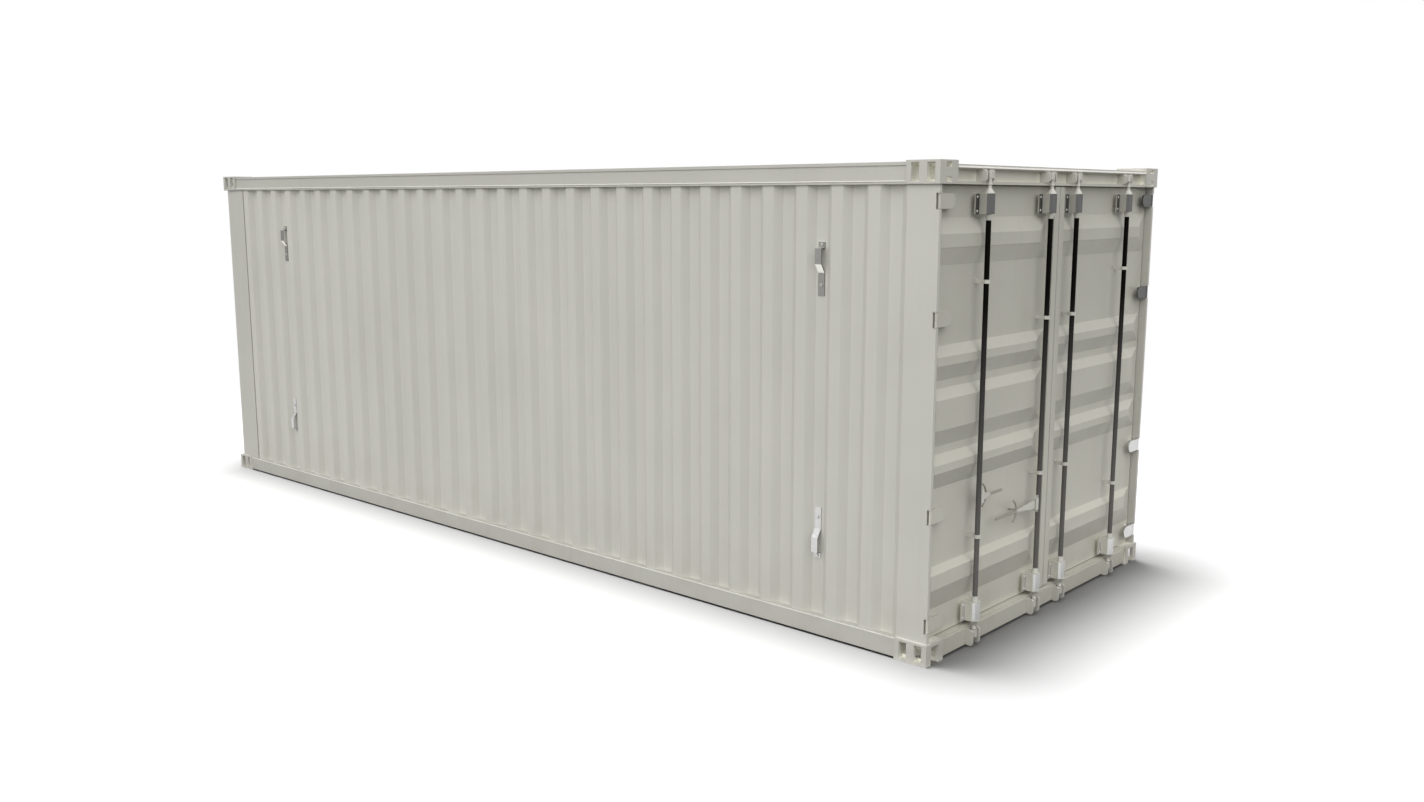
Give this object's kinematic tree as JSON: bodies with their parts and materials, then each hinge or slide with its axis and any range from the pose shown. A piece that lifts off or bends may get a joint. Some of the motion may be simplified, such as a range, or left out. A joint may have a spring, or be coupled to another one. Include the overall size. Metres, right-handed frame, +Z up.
{
  "type": "shipping container",
  "caption": "Closed steel freight container with corrugated walls, corner castings and a pair of end doors with lock rods and swing handles.",
  "frame": {"origin": "on the ground plane under the middle of the bounding box", "axes": "+X along the length towards the door end, +Y to the right-hand side seen with the doors behind the viewer, +Z up"},
  "size_m": [7.279, 2.616, 2.591],
  "materials": {
    "bare_steel": "brushed",
    "door_paint": "satin",
    "fitting_paint": "satin",
    "floor_wood": "oiled plywood",
    "frame_paint": "satin",
    "rod_paint": "satin",
    "roof_paint": "satin",
    "wall_paint": "satin"
  },
  "bodies": {
    "container": {"bottom_castings": "frame_paint", "bottom_side_rails": "frame_paint", "cross_members": "frame_paint", "door_header": "frame_paint", "door_posts": "frame_paint", "door_sill": "frame_paint", "floor_boards": "floor_wood", "floor_end_boards": "floor_wood", "front_header": "frame_paint", "front_posts": "frame_paint", "front_sill": "frame_paint", "front_wall": "wall_paint", "hinge_pins": "fitting_paint", "lower_keepers": "fitting_paint", "roof": "roof_paint", "side_wall_left": "wall_paint", "side_wall_right": "wall_paint", "tie_brackets": "bare_steel", "top_castings": "frame_paint", "top_side_rails": "frame_paint", "upper_keepers": "fitting_paint"},
    "left_door": {"handle_catches": "fitting_paint", "left_door_bearings": "bare_steel", "left_door_frame": "door_paint", "left_door_guides": "fitting_paint", "left_door_hinges": "bare_steel", "left_door_panel": "door_paint"},
    "right_door": {"right_door_bearings": "bare_steel", "right_door_frame": "door_paint", "right_door_guides": "fitting_paint", "right_door_hinges": "bare_steel", "right_door_panel": "door_paint"},
    "lock_rod_left_outer": {"lock_rod_left_outer": "rod_paint", "rod_fittings_left_outer": "fitting_paint"},
    "lock_rod_left_inner": {"lock_rod_left_inner": "rod_paint", "rod_fittings_left_inner": "fitting_paint"},
    "lock_rod_right_inner": {"lock_rod_right_inner": "rod_paint", "rod_fittings_right_inner": "fitting_paint"},
    "lock_rod_right_outer": {"lock_rod_right_outer": "rod_paint", "rod_fittings_right_outer": "fitting_paint"},
    "short_handle": {"short_handle": "fitting_paint"},
    "long_handle": {"long_handle": "fitting_paint"}
  },
  "joints": [
    {"name": "left_door_hinge", "type": "hinge", "parent": "container", "child": "left_door", "pos_m": [3.587, -1.279, 1.2955], "axis": [0, 0, -1], "range_deg": [0, 200]},
    {"name": "right_door_hinge", "type": "hinge", "parent": "container", "child": "right_door", "pos_m": [3.587, 1.279, 1.2955], "axis": [0, 0, 1], "range_deg": [0, 200]},
    {"name": "lock_rod_left_outer_turn", "type": "hinge", "parent": "left_door", "child": "lock_rod_left_outer", "pos_m": [3.616, -0.848, 1.2955], "axis": [0, 0, -1], "range_deg": [0, 90]},
    {"name": "lock_rod_left_inner_turn", "type": "hinge", "parent": "left_door", "child": "lock_rod_left_inner", "pos_m": [3.616, -0.16, 1.2955], "axis": [0, 0, 1], "range_deg": [0, 90]},
    {"name": "lock_rod_right_inner_turn", "type": "hinge", "parent": "right_door", "child": "lock_rod_right_inner", "pos_m": [3.616, 0.16, 1.2955], "axis": [0, 0, -1], "range_deg": [0, 90]},
    {"name": "lock_rod_right_outer_turn", "type": "hinge", "parent": "right_door", "child": "lock_rod_right_outer", "pos_m": [3.616, 0.848, 1.2955], "axis": [0, 0, 1], "range_deg": [0, 90]},
    {"name": "short_handle_lift", "type": "hinge", "parent": "lock_rod_left_outer", "child": "short_handle", "pos_m": [3.616, -0.817, 0.826], "axis": [1, 0, 0], "range_deg": [0, 10]},
    {"name": "long_handle_lift", "type": "hinge", "parent": "lock_rod_left_inner", "child": "long_handle", "pos_m": [3.616, -0.191, 0.668], "axis": [-1, 0, 0], "range_deg": [0, 10]}
  ]
}
